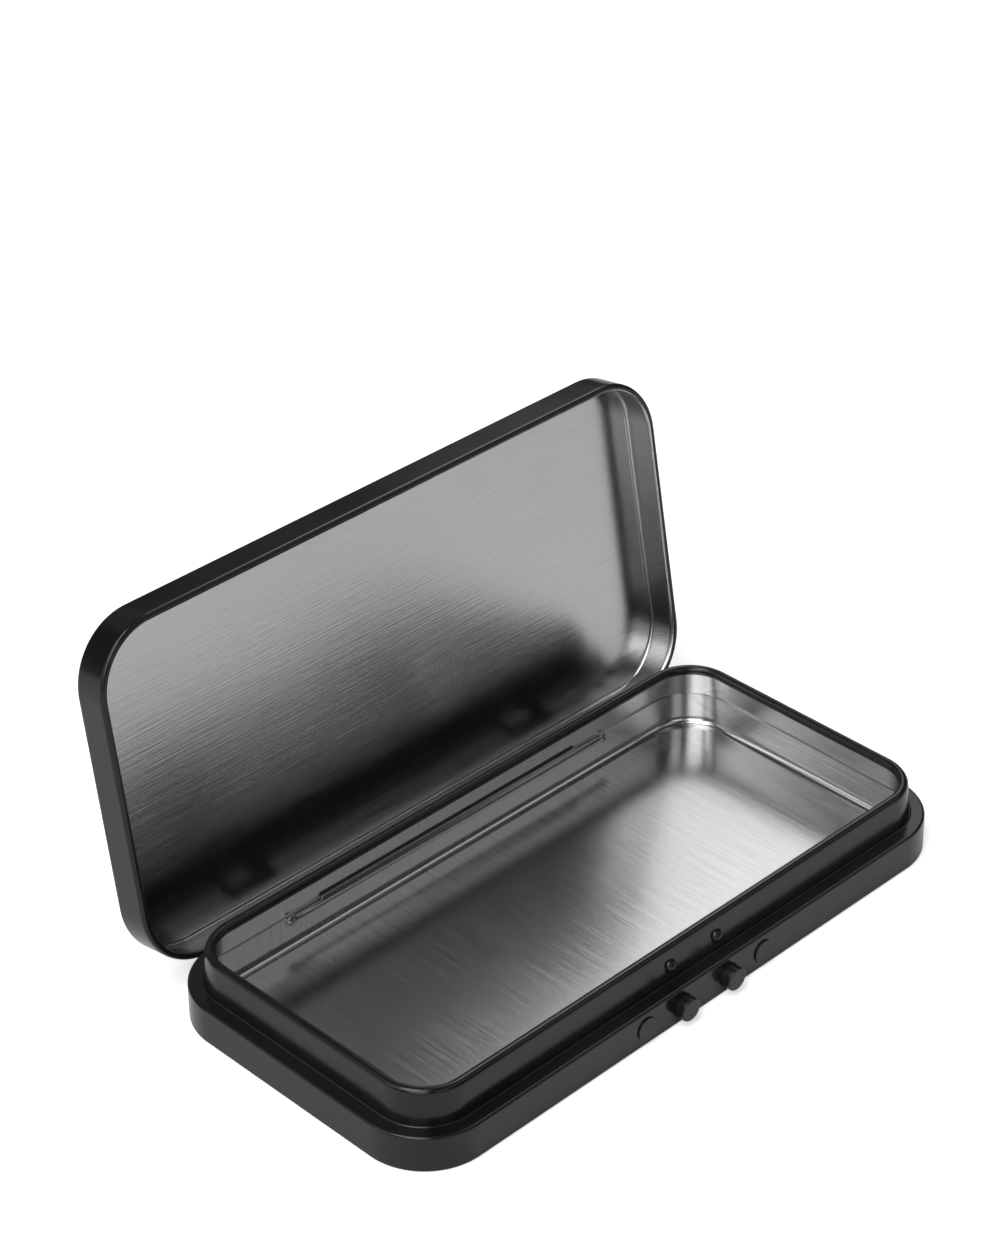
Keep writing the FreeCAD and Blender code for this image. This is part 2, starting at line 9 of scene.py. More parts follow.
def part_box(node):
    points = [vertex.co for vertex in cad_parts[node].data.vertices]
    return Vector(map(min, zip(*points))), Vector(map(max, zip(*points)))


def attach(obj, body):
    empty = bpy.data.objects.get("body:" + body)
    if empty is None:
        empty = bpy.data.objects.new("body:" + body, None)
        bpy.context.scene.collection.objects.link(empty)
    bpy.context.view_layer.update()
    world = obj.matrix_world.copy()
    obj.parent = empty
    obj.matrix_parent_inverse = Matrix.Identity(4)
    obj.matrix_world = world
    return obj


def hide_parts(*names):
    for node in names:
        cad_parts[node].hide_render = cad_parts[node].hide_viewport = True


# Slim black pocket tin with its lid open, on a white studio floor.
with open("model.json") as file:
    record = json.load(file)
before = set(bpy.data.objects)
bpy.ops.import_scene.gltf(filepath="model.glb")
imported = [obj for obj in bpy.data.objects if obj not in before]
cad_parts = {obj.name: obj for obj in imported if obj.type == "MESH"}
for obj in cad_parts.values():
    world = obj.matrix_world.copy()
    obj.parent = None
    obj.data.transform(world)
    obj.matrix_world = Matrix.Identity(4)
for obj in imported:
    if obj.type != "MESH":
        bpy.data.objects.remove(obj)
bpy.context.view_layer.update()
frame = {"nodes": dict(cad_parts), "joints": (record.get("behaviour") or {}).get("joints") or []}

MM = 0.001

# Sizes that the frame gives, in metres
base_low, base_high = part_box("base_shell")
neck_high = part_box("neck_ring")[1]
tray_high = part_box("inner_tray")[1]
button_low, button_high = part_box("right_push_button")
rivet_low, rivet_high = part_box("right_spring_rivet")
pin_low, pin_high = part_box("right_catch_pin")
spring_low, spring_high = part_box("right_leaf_spring")
plate_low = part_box("right_latch_plate")[0]
hinge_low, hinge_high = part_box("right_hinge_pin")
HINGE = next(joint for joint in frame["joints"] if joint["name"] == "lid_hinge")
LENGTH = base_high.x - base_low.x
WIDTH = base_high.y - base_low.y
FRONT = base_low.y
REAR = base_high.y
BASE_HEIGHT = base_high.z
NECK_INSET = base_high.x - neck_high.x
RIM_HEIGHT = neck_high.z
TRAY_INSET = base_high.x - tray_high.x
TRAY_HEIGHT = tray_high.z
HINGE_POINT = Vector(HINGE["pos_m"])
LID_OPEN = math.radians(HINGE["range_deg"][1])
HINGE_X = (hinge_low.x + hinge_high.x) / 2

# Sizes of the pressed sheet, in metres
SHEET = 0.3 * MM
CORNER_RADIUS = 11.5 * MM
FLOOR_INSET = 5.6 * MM
BASE_EDGE = 0.4 * MM
SHOULDER_EDGE = 0.45 * MM
SHOULDER_INSET = NECK_INSET - 0.05 * MM
LIP_INSET = SHOULDER_INSET - 0.1 * MM
LIP_TURN = 0.25 * MM
LIP_HEIGHT = BASE_HEIGHT + 0.3 * MM
NECK_LEAN = math.radians(4)
RIM_CURL = 0.87 * MM
RIM_CURL_END = math.radians(-70)
TRAY_FILLET = 1.4 * MM
TRAY_INNER = TRAY_INSET + SHEET
LID_RIM = BASE_HEIGHT + 0.15 * MM
LID_TOP = RIM_HEIGHT + 0.1 * MM + SHEET
LID_EDGE = 0.8 * MM
LID_LINE = 1.0 * MM
LID_LINE_DEPTH = 0.08 * MM
LID_CURL = 0.64 * MM
LID_CURL_END = math.radians(70)
LID_PAINT_END = math.radians(300)

# Sizes of the buttons, rivets and pins, in metres
BUTTON_RADIUS = 2.0 * MM
BUTTON_EDGE = 0.25 * MM
STEM_RADIUS = 0.9 * MM
SPIGOT_RADIUS = 0.7 * MM
FLANGE_INSET = SHEET + 0.05 * MM
FLANGE_BACK = FLANGE_INSET + 0.4 * MM
FLANGE_RADIUS = (button_high.z - button_low.z) / 2
RIVET_RADIUS = 2.0 * MM
RIVET_SHANK = 1.0 * MM
RIVET_TAIL = 1.5 * MM
RIVET_EDGE = 0.1 * MM
PIN_RADIUS = (pin_high.z - pin_low.z) / 2
PIN_REACH = 0.9 * MM

# Distances behind the face of the front wall, in metres, below zero where a piece stands out of it
BUTTON_FRONT = button_low.y - FRONT
RIVET_FRONT = rivet_low.y - FRONT
PIN_TIP = pin_low.y - FRONT
SPRING_FACE = spring_low.y - FRONT
SPRING_BACK = spring_high.y - FRONT
RIVET_END = rivet_high.y - FRONT
PLATE_INSET = plate_low.y - FRONT
SPIGOT_END = button_high.y - FRONT

# Holes and windows, in metres
HOLE_GAP = 0.1 * MM
RIVET_FIT = 0.03 * MM
WALL_REACH = 4 * SHEET
TRAY_REACH = 2 * TRAY_INNER
LID_REACH = 5 * LID_CURL
KNUCKLE_NOTCH = (hinge_high.x - hinge_low.x) / 2 + 0.3 * MM
BASE_NOTCH_LOW = 4.45 * MM
LID_NOTCH_HIGH = 7.95 * MM
TAIL_SLOT = 2.85 * MM
TAIL_LOW = 5.8 * MM
TAIL_HIGH = 6.25 * MM

# Fineness of the meshes
ARC_STEP = math.radians(9)
EASE = 0.06 * MM
LONG_RUN = 4 * EASE
WELD = 0.002 * MM
SOLID_WELD = WELD / 2
CORNER_STEPS = 28
STRAIGHT_STEPS = 36
TURN_STEPS = 72
CREASE = math.radians(38)
FLAT = math.radians(1)
EDGE_SEGMENTS = 2

# Softened edges of the folded pieces, in metres
RAIL_EDGE = 0.06 * MM
COVER_EDGE = 0.1 * MM
FOLD_EDGE = 0.05 * MM
SPRING_EDGE = 0.03 * MM


# Node helpers

def fill_sockets(tree, sockets, values):
    """Link a socket to each value that is one, and write the other values into their sockets."""
    for socket, value in zip(sockets, values):
        if isinstance(value, bpy.types.NodeSocket):
            tree.links.new(value, socket)
        else:
            socket.default_value = value


def add_node(tree, kind, settings=None, **values):
    """Node with its settings and with sockets filled by name, an underscore for each space."""
    node = tree.nodes.new(kind)
    for name, value in (settings or {}).items():
        setattr(node, name, value)
    names = [name.replace("_", " ") for name in values]
    fill_sockets(tree, [node.inputs[name] for name in names], values.values())
    return node


def number(tree, operation, first, second):
    """Result of one operation on two numbers or sockets."""
    node = add_node(tree, "ShaderNodeMath", {"operation": operation})
    fill_sockets(tree, node.inputs, (first, second))
    return node.outputs[0]


def point(tree, x, y, z):
    """Vector of three numbers or sockets."""
    return add_node(tree, "ShaderNodeCombineXYZ", X=x, Y=y, Z=z).outputs[0]


def new_tree(name, inputs):
    """Geometry tree with one mesh in, one mesh out and named inputs."""
    tree = bpy.data.node_groups.new(name, "GeometryNodeTree")
    tree.interface.new_socket("Geometry", in_out="INPUT", socket_type="NodeSocketGeometry")
    tree.interface.new_socket("Geometry", in_out="OUTPUT", socket_type="NodeSocketGeometry")
    for label, kind in inputs.items():
        tree.interface.new_socket(label, in_out="INPUT", socket_type=f"NodeSocket{kind}")
    return tree, tree.nodes.new("NodeGroupInput").outputs, tree.nodes.new("NodeGroupOutput").inputs


# Geometry trees of the pressed shells

SHELL_INPUTS = {
    "Floor Length": "Float", "Floor Width": "Float", "Floor Corner": "Float",
    "Corner Steps": "Int", "Straight Steps": "Int", "Floor Low": "Float", "Floor High": "Float",
    "Low Is Bare": "Float", "High Is Bare": "Float", "Coat": "Material", "Bare": "Material",
}
ROUND_INPUTS = ("Spacing", "Height", "Radius", "Near", "Far")
WINDOW_INPUTS = ("Spacing", "Half Width", "Low", "High", "Near", "Far")
TO_FRONT = (math.pi / 2, 0, 0)
UPRIGHT = (0, 0, 0)
BARE_MARK = 0.99


def rounded_path(tree, given):
    """Edge of the flat floor: a rectangle with fine arcs for corners and with divided sides."""
    sides = add_node(tree, "GeometryNodeCurvePrimitiveQuadrilateral",
                     Width=given["Floor Length"], Height=given["Floor Width"])
    corners = add_node(tree, "GeometryNodeFilletCurve", {"mode": "POLY"}, Curve=sides.outputs[0],
                       Count=given["Corner Steps"], Radius=given["Floor Corner"])
    index = add_node(tree, "GeometryNodeInputIndex").outputs[0]
    place_in_corner = number(tree, "MODULO", index, number(tree, "ADD", given["Corner Steps"], 1))
    starts_side = number(tree, "COMPARE", place_in_corner, given["Corner Steps"])
    cuts = number(tree, "MULTIPLY", starts_side, given["Straight Steps"])
    divided = add_node(tree, "GeometryNodeSubdivideCurve", Curve=corners.outputs[0], Cuts=cuts)
    return add_node(tree, "GeometryNodeSetCurveNormal", {"mode": "Z_UP"}, Curve=divided.outputs[0]).outputs[0]


def store(tree, mesh, name, kind, domain, value):
    """The mesh with a named attribute written on it."""
    return add_node(tree, "GeometryNodeStoreNamedAttribute", {"data_type": kind, "domain": domain},
                    Geometry=mesh, Name=name, Value=value).outputs[0]


def swept_wall(tree, path, section):
    """Section swept along the path, with each point's place on the flat blank."""
    kept = add_node(tree, "GeometryNodeCaptureAttribute", {"domain": "POINT"})
    for label in ("Edge", "Outward"):
        kept.capture_items.new("VECTOR", label)
    edge = add_node(tree, "GeometryNodeInputPosition").outputs[0]
    outward = add_node(tree, "GeometryNodeInputNormal").outputs[0]
    fill_sockets(tree, [kept.inputs[name] for name in ("Geometry", "Edge", "Outward")], (path, edge, outward))
    line = add_node(tree, "GeometryNodeMeshToCurve", Mesh=section).outputs[0]
    wall = add_node(tree, "GeometryNodeCurveToMesh", Curve=kept.outputs["Geometry"], Profile_Curve=line)
    run = add_node(tree, "GeometryNodeInputNamedAttribute", {"data_type": "FLOAT"}, Name="run")
    reach = add_node(tree, "ShaderNodeVectorMath", {"operation": "SCALE"}, Scale=run.outputs["Attribute"])
    spot = add_node(tree, "ShaderNodeVectorMath", {"operation": "ADD"})
    fill_sockets(tree, reach.inputs, (kept.outputs["Outward"],))
    fill_sockets(tree, spot.inputs, (kept.outputs["Edge"], reach.outputs[0]))
    outside_out = add_node(tree, "GeometryNodeFlipFaces", Mesh=wall.outputs[0])
    mark = add_node(tree, "GeometryNodeInputNamedAttribute", {"data_type": "FLOAT"}, Name="bare")
    marked = store(tree, outside_out.outputs[0], "finish", "FLOAT", "FACE", mark.outputs["Attribute"])
    return store(tree, marked, "Blank", "FLOAT2", "CORNER", spot.outputs[0])


def floor_sheet(tree, path, height, is_bare):
    """Flat face inside the path, lifted to its height and marked with its finish."""
    face = add_node(tree, "GeometryNodeFillCurve", {"mode": "NGONS"}, Curve=path)
    lifted = add_node(tree, "GeometryNodeSetPosition", Geometry=face.outputs[0],
                      Offset=point(tree, 0.0, 0.0, height))
    marked = store(tree, lifted.outputs[0], "finish", "FLOAT", "FACE", is_bare)
    spot = add_node(tree, "GeometryNodeInputPosition").outputs[0]
    return store(tree, marked, "Blank", "FLOAT2", "CORNER", spot)


def cut_pair(tree, shell, punch, spacing, y, z, turn):
    """Take two copies of a punch, either side of the middle, out of the shell."""
    right = number(tree, "MULTIPLY", spacing, 0.5)
    left = number(tree, "MULTIPLY", spacing, -0.5)
    places = add_node(tree, "GeometryNodeMeshLine", {"mode": "END_POINTS"}, Count=2,
                      Start_Location=point(tree, left, y, z), Offset=point(tree, right, y, z))
    copies = add_node(tree, "GeometryNodeInstanceOnPoints", Points=places.outputs[0], Instance=punch,
                      Rotation=turn)
    solid = add_node(tree, "GeometryNodeRealizeInstances", Geometry=copies.outputs[0])
    cut = add_node(tree, "GeometryNodeMeshBoolean", {"operation": "DIFFERENCE", "solver": "MANIFOLD"},
                   Mesh_1=shell, Mesh_2=solid.outputs[0])
    return cut.outputs[0]


def between(tree, first, second):
    """Middle of two values."""
    return number(tree, "MULTIPLY", number(tree, "ADD", first, second), 0.5)


def punch_round(tree, shell, size):
    """Pair of round holes through the front wall."""
    depth = number(tree, "SUBTRACT", size["Far"], size["Near"])
    punch = add_node(tree, "GeometryNodeMeshCylinder", Vertices=TURN_STEPS, Radius=size["Radius"],
                     Depth=depth)
    middle = between(tree, size["Near"], size["Far"])
    return cut_pair(tree, shell, punch.outputs["Mesh"], size["Spacing"], middle, size["Height"], TO_FRONT)


def punch_window(tree, shell, size):
    """Pair of square windows through the rear wall."""
    block = point(tree, number(tree, "MULTIPLY", size["Half Width"], 2),
                  number(tree, "SUBTRACT", size["Far"], size["Near"]),
                  number(tree, "SUBTRACT", size["High"], size["Low"]))
    punch = add_node(tree, "GeometryNodeMeshCube", Size=block)
    middle = between(tree, size["Near"], size["Far"])
    height = between(tree, size["Low"], size["High"])
    return cut_pair(tree, shell, punch.outputs["Mesh"], size["Spacing"], middle, height, UPRIGHT)


def shell_tree(name, with_floor, round_holes, windows):
    """Sheet metal pressed to a section all round the tin, with its floor, holes and windows."""
    inputs = dict(SHELL_INPUTS)
    inputs.update({f"{hole} {size}": "Float" for hole in round_holes for size in ROUND_INPUTS})
    inputs.update({f"{window} {size}": "Float" for window in windows for size in WINDOW_INPUTS})
    tree, given, result = new_tree(name, inputs)
    path = rounded_path(tree, given)
    whole = add_node(tree, "GeometryNodeJoinGeometry")
    tree.links.new(swept_wall(tree, path, given["Geometry"]), whole.inputs[0])
    if with_floor:
        for level in ("Low", "High"):
            sheet = floor_sheet(tree, path, given[f"Floor {level}"], given[f"{level} Is Bare"])
            if level == "Low":
                sheet = add_node(tree, "GeometryNodeFlipFaces", Mesh=sheet).outputs[0]
            tree.links.new(sheet, whole.inputs[0])
    shell = add_node(tree, "GeometryNodeMergeByDistance", Geometry=whole.outputs[0], Distance=WELD).outputs[0]
    for hole in round_holes:
        shell = punch_round(tree, shell, {size: given[f"{hole} {size}"] for size in ROUND_INPUTS})
    for window in windows:
        shell = punch_window(tree, shell, {size: given[f"{window} {size}"] for size in WINDOW_INPUTS})
    solid = add_node(tree, "GeometryNodeRealizeInstances", Geometry=shell)
    coated = add_node(tree, "GeometryNodeSetMaterial", Geometry=solid.outputs[0], Material=given["Coat"])
    mark = add_node(tree, "GeometryNodeInputNamedAttribute", {"data_type": "FLOAT"}, Name="finish")
    is_bare = number(tree, "GREATER_THAN", mark.outputs["Attribute"], BARE_MARK)
    both = add_node(tree, "GeometryNodeSetMaterial", Geometry=coated.outputs[0], Selection=is_bare,
                    Material=given["Bare"])
    tree.links.new(both.outputs[0], result[0])
    return tree


def turned_tree():
    """Section turned about an axis that points to the front."""
    tree, given, result = new_tree("turned_piece", {
        "Ring": "Float", "Steps": "Int", "Place": "Vector", "Finish": "Material",
    })
    ring = add_node(tree, "GeometryNodeCurvePrimitiveCircle", {"mode": "RADIUS"},
                    Resolution=given["Steps"], Radius=given["Ring"])
    path = add_node(tree, "GeometryNodeSetCurveNormal", {"mode": "Z_UP"}, Curve=ring.outputs[0])
    line = add_node(tree, "GeometryNodeMeshToCurve", Mesh=given["Geometry"])
    skin = add_node(tree, "GeometryNodeCurveToMesh", Curve=path.outputs[0], Profile_Curve=line.outputs[0])
    welded = add_node(tree, "GeometryNodeMergeByDistance", Geometry=skin.outputs[0], Distance=WELD)
    faced = add_node(tree, "GeometryNodeTransform", Geometry=welded.outputs[0], Translation=given["Place"],
                     Rotation=TO_FRONT)
    solid = add_node(tree, "GeometryNodeRealizeInstances", Geometry=faced.outputs[0])
    coated = add_node(tree, "GeometryNodeSetMaterial", Geometry=solid.outputs[0], Material=given["Finish"])
    tree.links.new(coated.outputs[0], result[0])
    return tree


# Sections, as points (inset, height) in metres

def arc(centre, radius, start, end):
    """Points of an arc, both ends included."""
    steps = max(2, math.ceil(abs(end - start) / ARC_STEP))
    angles = [start + (end - start) * step / steps for step in range(steps + 1)]
    return [(centre[0] + radius * math.cos(a), centre[1] + radius * math.sin(a)) for a in angles]


def rounded(corners):
    """Points through corners of which those with a third number are rounded to that radius."""
    points = []
    for index, corner in enumerate(corners):
        here = Vector(corner[:2])
        if len(corner) == 2:
            points.append(tuple(here))
            continue
        back = (Vector(corners[index - 1][:2]) - here).normalized()
        ahead = (Vector(corners[index + 1][:2]) - here).normalized()
        half = back.angle(ahead) / 2
        middle = here + (back + ahead).normalized() * corner[2] / math.sin(half)
        first = here + back * corner[2] / math.tan(half) - middle
        last = here + ahead * corner[2] / math.tan(half) - middle
        start = math.atan2(first.y, first.x)
        turn = (math.atan2(last.y, last.x) - start + math.pi) % (2 * math.pi) - math.pi
        points += arc(middle, corner[2], start, start + turn)
    return points


def eased(points):
    """The points with one more close to each end of a long run, which keeps the run's shading flat."""
    result = [points[0]]
    for before, after in zip(points, points[1:]):
        run = Vector(after) - Vector(before)
        if run.length > LONG_RUN:
            step = run.normalized() * EASE
            result += [tuple(Vector(before) + step), tuple(Vector(after) - step)]
        result.append(after)
    return result


def runs_from_floor(points):
    """Length of sheet from the floor's edge, or the end nearest to it, to each point."""
    steps = [(Vector(b) - Vector(a)).length for a, b in zip(points, points[1:])]
    runs = [sum(steps[:index]) for index in range(len(points))]
    return runs if points[0][0] >= points[-1][0] else [runs[-1] - run for run in runs]


def section_mesh(name, sides, closed=False):
    """Line of a section, counter-clockwise. A side is its points and 1 where it is bare, or 0."""
    mesh = bpy.data.meshes.new(name)
    points = [spot for side, bare in sides for spot in side]
    edges = [(i, i + 1) for i in range(len(points) - 1)] + ([(len(points) - 1, 0)] if closed else [])
    mesh.from_pydata([(FLOOR_INSET - inset, -height, 0) for inset, height in points], edges, [])
    marks = [float(bare) for side, bare in sides for spot in side]
    runs = [run for side, bare in sides for run in runs_from_floor(side)]
    for label, values in (("bare", marks), ("run", runs)):
        mesh.attributes.new(label, "FLOAT", "POINT").data.foreach_set("value", values)
    return mesh


# Plain meshes from the trees

def made_by(name, mesh, tree, values):
    """Object whose mesh is the result of a geometry tree with its input values."""
    piece = bpy.data.objects.new(name, mesh)
    bpy.context.scene.collection.objects.link(piece)
    modifier = piece.modifiers.new(tree.name, "NODES")
    modifier.node_group = tree
    for item in tree.interface.items_tree:
        if item.in_out == "INPUT" and item.name in values:
            modifier[item.identifier] = values[item.name]
    return plain_mesh(piece)


def plain_mesh(piece):
    """Turn a piece's evaluated shape into its own mesh and take its modifiers off."""
    shaped = piece.evaluated_get(bpy.context.evaluated_depsgraph_get())
    mesh = bpy.data.meshes.new_from_object(shaped)
    mesh.name = piece.name
    piece.modifiers.clear()
    piece.data = mesh
    return piece


def upright_map(piece):
    """UV map of a strip that stands against a wall, in metres."""
    mesh = piece.data
    layer = mesh.uv_layers.new(name="Blank")
    for loop in mesh.loops:
        spot = mesh.vertices[loop.vertex_index].co
        layer.uv[loop.index].vector = (spot.x, spot.y + spot.z)


def settle(piece, turn=None):
    """Point the faces outwards, shade the curves smooth, keep the creases and move it to its place."""
    mesh = piece.data
    work = bmesh.new()
    work.from_mesh(mesh)
    bmesh.ops.recalc_face_normals(work, faces=work.faces)
    work.to_mesh(mesh)
    work.free()
    if turn is not None:
        mesh.transform(turn)
    mesh.shade_smooth()
    mesh.set_sharp_from_angle(angle=CREASE)
    mesh.update()


def place(piece, body, node):
    """Let a finished piece ride on its body in place of its node."""
    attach(piece, body)
    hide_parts(node)


# Finishes, with texture scales per metre

NOISE_LOW = 0.3
NOISE_HIGH = 0.7
GRAIN_ALONG = 68.0
GRAIN_ACROSS = 3100.0
STEEL_ROUGHNESS = 0.21
STREAK_ROUGHNESS = 0.025
CLOUD_ROUGHNESS = 0.004
QUARTER_TURN = 0.25


def new_material(name):
    """Material with its node tree and its surface shader."""
    material = bpy.data.materials.new(name)
    material.use_nodes = True
    return material, material.node_tree, material.node_tree.nodes["Principled BSDF"]


def noise(tree, where, scale, detail, roughness=0.5):
    """Value of a noise texture at each place."""
    return add_node(tree, "ShaderNodeTexNoise", Vector=where, Scale=scale, Detail=detail,
                    Roughness=roughness).outputs[0]


def stretched(tree, where, scale):
    """Places with a scale of its own along each axis."""
    return add_node(tree, "ShaderNodeMapping", Vector=where, Scale=scale).outputs[0]


def spread(tree, value, low, high):
    """A texture's middle range brought between two numbers."""
    return add_node(tree, "ShaderNodeMapRange", Value=value, From_Min=NOISE_LOW, From_Max=NOISE_HIGH,
                    To_Min=low, To_Max=high).outputs[0]


def grey(tree, value, dark, light):
    """Grey between two levels, where the value asks for it."""
    level = spread(tree, value, dark, light)
    return add_node(tree, "ShaderNodeCombineColor", Red=level, Green=level, Blue=level).outputs[0]


def black_lacquer():
    """Sprayed black lacquer: deep, glossy, with a faint orange peel and uneven gloss."""
    material, tree, surface = new_material("black_lacquer")
    own = add_node(tree, "ShaderNodeTexCoord").outputs["Object"]
    cloud = noise(tree, own, scale=60.0, detail=3.0)
    peel = noise(tree, own, scale=1500.0, detail=2.0)
    shade = grey(tree, cloud, dark=0.006, light=0.011)
    gloss = spread(tree, cloud, low=0.17, high=0.23)
    bump = add_node(tree, "ShaderNodeBump", Strength=0.05, Distance=0.02 * MM, Height=peel)
    fill_sockets(tree, [surface.inputs[name] for name in ("Base Color", "Roughness", "Normal")],
                 (shade, gloss, bump.outputs[0]))
    surface.inputs["IOR"].default_value = 1.4
    return material


def brushed_steel(name, along_x, stretch, depth):
    """Bare sheet brushed one way before it was pressed, so the grain follows the flat blank."""
    material, tree, surface = new_material(name)
    blank = add_node(tree, "ShaderNodeUVMap", {"uv_map": "Blank"}).outputs[0]
    scale = (GRAIN_ALONG, GRAIN_ACROSS, 1.0) if along_x else (GRAIN_ACROSS, GRAIN_ALONG, 1.0)
    streak = noise(tree, stretched(tree, blank, scale), scale=1.0, detail=3.0, roughness=0.6)
    cloud = noise(tree, blank, scale=70.0, detail=3.0)
    shade = grey(tree, streak, dark=0.44, light=0.53)
    streaked = spread(tree, streak, STEEL_ROUGHNESS - STREAK_ROUGHNESS, STEEL_ROUGHNESS + STREAK_ROUGHNESS)
    worn = number(tree, "ADD", streaked, spread(tree, cloud, -CLOUD_ROUGHNESS, CLOUD_ROUGHNESS))
    bump = add_node(tree, "ShaderNodeBump", Strength=1.0, Distance=depth, Height=streak)
    tangent = add_node(tree, "ShaderNodeTangent", {"direction_type": "UV_MAP", "uv_map": "Blank"})
    fill_sockets(tree, [surface.inputs[name] for name in ("Base Color", "Roughness", "Normal", "Tangent")],
                 (shade, worn, bump.outputs[0], tangent.outputs[0]))
    surface.inputs["Metallic"].default_value = 1.0
    surface.inputs["Anisotropic"].default_value = stretch
    surface.inputs["Anisotropic Rotation"].default_value = QUARTER_TURN if along_x else 0.0
    return material


def plated_steel():
    """Dull plating on the small inner parts, with fine mottling."""
    material, tree, surface = new_material("plated_steel")
    own = add_node(tree, "ShaderNodeTexCoord").outputs["Object"]
    mottle = noise(tree, own, scale=900.0, detail=4.0)
    shade = grey(tree, mottle, dark=0.42, light=0.58)
    gloss = spread(tree, mottle, low=0.28, high=0.42)
    fill_sockets(tree, [surface.inputs[name] for name in ("Base Color", "Roughness")], (shade, gloss))
    surface.inputs["Metallic"].default_value = 1.0
    return material


BLACK = black_lacquer()
LID_STEEL = brushed_steel("lid_brushed_steel", along_x=True, stretch=0.5, depth=0.022 * MM)
TRAY_STEEL = brushed_steel("tray_brushed_steel", along_x=False, stretch=0.4, depth=0.007 * MM)
PLATED = plated_steel()


# Pressed shells

def shell_values(coat, bare, floor=(0.0, 0.0), low_is_bare=0.0, high_is_bare=0.0):
    """Inputs that every shell has. A floor is its lower and upper height."""
    return {
        "Floor Length": LENGTH - 2 * FLOOR_INSET, "Floor Width": WIDTH - 2 * FLOOR_INSET,
        "Floor Corner": CORNER_RADIUS - FLOOR_INSET, "Corner Steps": CORNER_STEPS,
        "Straight Steps": STRAIGHT_STEPS, "Floor Low": floor[0], "Floor High": floor[1],
        "Low Is Bare": low_is_bare, "High Is Bare": high_is_bare, "Coat": coat, "Bare": bare,
    }


def front_place(low, high):
    """Middle of a right-hand piece's box, along the front and in height."""
    return (low.x + high.x) / 2, (low.z + high.z) / 2


def round_values(label, low, high, radius, near, far):
    """Inputs of a pair of round holes about the middle of a right-hand piece's box."""
    x, z = front_place(low, high)
    sizes = (2 * x, z, radius, FRONT + near, FRONT + far)
    return {f"{label} {name}": size for name, size in zip(ROUND_INPUTS, sizes)}


def window_values(label, half_width, low, high, near, far):
    """Inputs of a pair of windows at the hinges. Near and far are insets from the rear."""
    sizes = (2 * HINGE_X, half_width, low, high, REAR - far, REAR - near)
    return {f"{label} {name}": size for name, size in zip(WINDOW_INPUTS, sizes)}


def make_base_shell():
    """Outer pan with its shoulder turned in to a small lip."""
    outline = rounded([
        (FLOOR_INSET, 0.0),
        (0.0, 0.0, BASE_EDGE),
        (0.0, BASE_HEIGHT, SHOULDER_EDGE),
        (LIP_INSET, BASE_HEIGHT, LIP_TURN),
        (LIP_INSET, LIP_HEIGHT),
        (SHOULDER_INSET, LIP_HEIGHT),
        (SHOULDER_INSET, BASE_HEIGHT - SHEET),
        (SHEET, BASE_HEIGHT - SHEET, SHOULDER_EDGE - SHEET),
        (SHEET, SHEET, BASE_EDGE - SHEET),
        (FLOOR_INSET, SHEET),
    ])
    tree = shell_tree("base_pan", True, ("Button", "Rivet"), ("Hinge",))
    piece = made_by("base_pan", section_mesh("base_section", [(eased(outline), 0)]), tree, {
        **shell_values(BLACK, BLACK, (0.0, SHEET)),
        **round_values("Button", button_low, button_high, BUTTON_RADIUS + HOLE_GAP, -WALL_REACH, WALL_REACH),
        **round_values("Rivet", rivet_low, rivet_high, RIVET_RADIUS + RIVET_FIT, -WALL_REACH, WALL_REACH),
        **window_values("Hinge", KNUCKLE_NOTCH, BASE_NOTCH_LOW, RIM_HEIGHT, -WALL_REACH, NECK_INSET),
    })
    settle(piece)
    place(piece, "base", "base_shell")


def make_neck_ring():
    """Upright wall with its top edge rolled inwards."""
    turn = math.pi - NECK_LEAN
    turn_height = RIM_HEIGHT - RIM_CURL + RIM_CURL * math.sin(NECK_LEAN)
    turn_inset = NECK_INSET + math.tan(NECK_LEAN) * (turn_height - BASE_HEIGHT)
    centre = (turn_inset + RIM_CURL * math.cos(NECK_LEAN), RIM_HEIGHT - RIM_CURL)
    outside = [(NECK_INSET, SHEET), (NECK_INSET, BASE_HEIGHT)] + arc(centre, RIM_CURL, turn, RIM_CURL_END)
    *underside, top = arc(centre, RIM_CURL - SHEET, RIM_CURL_END, turn)
    inside = [top, (NECK_INSET + SHEET, BASE_HEIGHT), (NECK_INSET + SHEET, SHEET)]
    tree = shell_tree("neck", False, ("Stem", "Catch"), ("Tail",))
    section = section_mesh("neck_section", [(eased(outside) + underside, 0), (eased(inside), 1)], True)
    piece = made_by("neck", section, tree, {
        **shell_values(BLACK, TRAY_STEEL),
        **round_values("Stem", button_low, button_high, STEM_RADIUS + HOLE_GAP, 0.0, TRAY_INNER),
        **round_values("Catch", pin_low, pin_high, PIN_RADIUS + HOLE_GAP, 0.0, TRAY_INNER),
        **window_values("Tail", TAIL_SLOT, TAIL_LOW, TAIL_HIGH, 0.0, TRAY_INNER),
    })
    settle(piece)
    place(piece, "base", "neck_ring")


